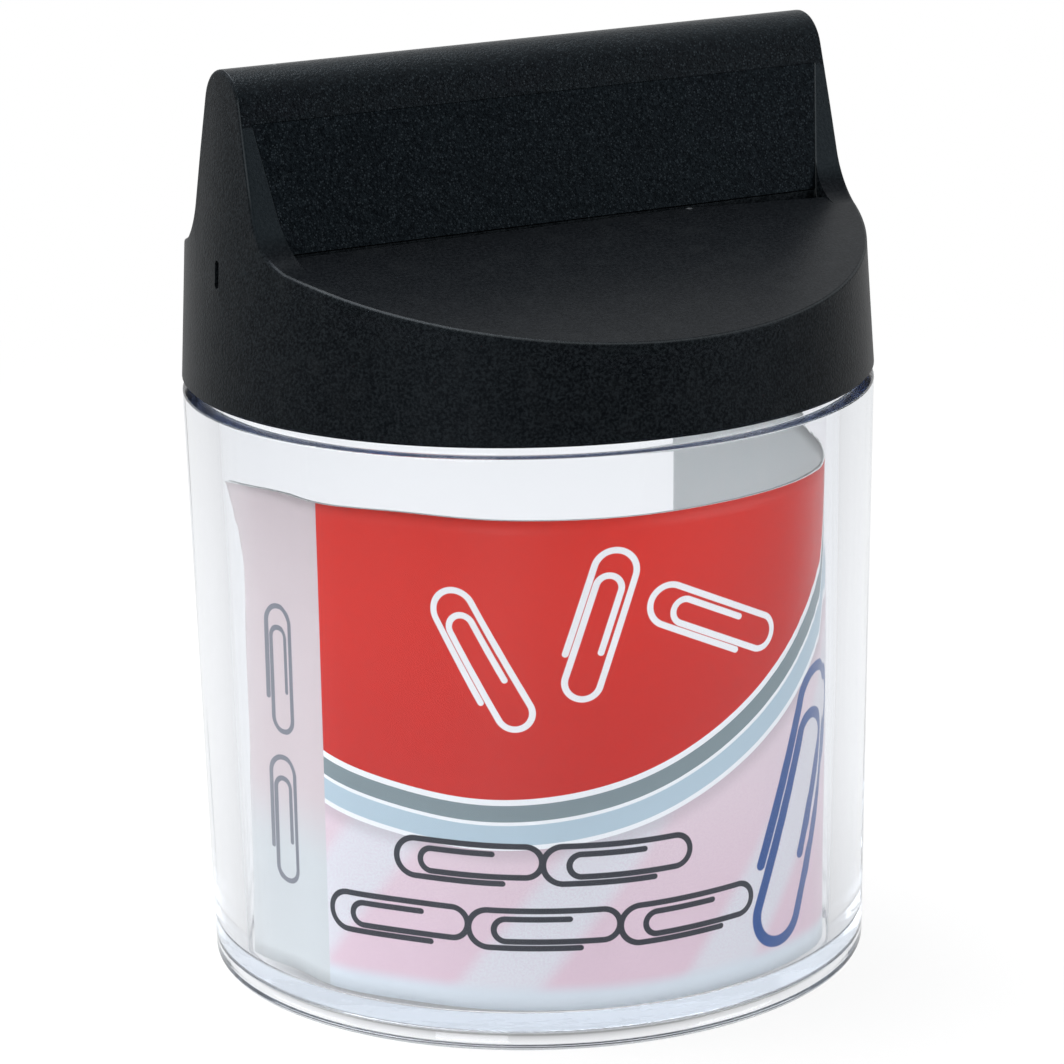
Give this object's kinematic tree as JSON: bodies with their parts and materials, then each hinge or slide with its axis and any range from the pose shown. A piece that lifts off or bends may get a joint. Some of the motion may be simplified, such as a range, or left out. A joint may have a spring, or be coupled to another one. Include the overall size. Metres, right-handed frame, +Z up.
{
  "type": "magnetic paper clip holder",
  "caption": "Clear round paper clip jar with a black push-on cap; the upright grip across the cap holds a bar magnet that keeps clips on its faces.",
  "frame": {"origin": "centre of the jar's foot ring, on the table", "axes": "+Z up the jar's axis, +X along the grip, -Y towards the front"},
  "size_m": [0.058, 0.058, 0.078],
  "materials": {
    "clear_plastic": "clear moulded polystyrene, polished",
    "printed_card": "thin satin card, printed on one side",
    "black_plastic": "black moulded plastic with a fine eroded grain",
    "grained_black_plastic": "black moulded plastic with a coarse glinting grain",
    "ferrite": "sintered ferrite, dull dark grey"
  },
  "bodies": {
    "jar": {"jar": "clear_plastic", "label_insert": "printed_card"},
    "cap": {"cap_shell": "black_plastic", "front_face_plate": "grained_black_plastic", "rear_face_plate": "grained_black_plastic", "bar_magnet": "ferrite"}
  },
  "joints": [
    {"name": "cap_lift", "type": "slide", "parent": "jar", "child": "cap", "axis": [0, 0, 1], "range_m": [0, 0.05]}
  ]
}
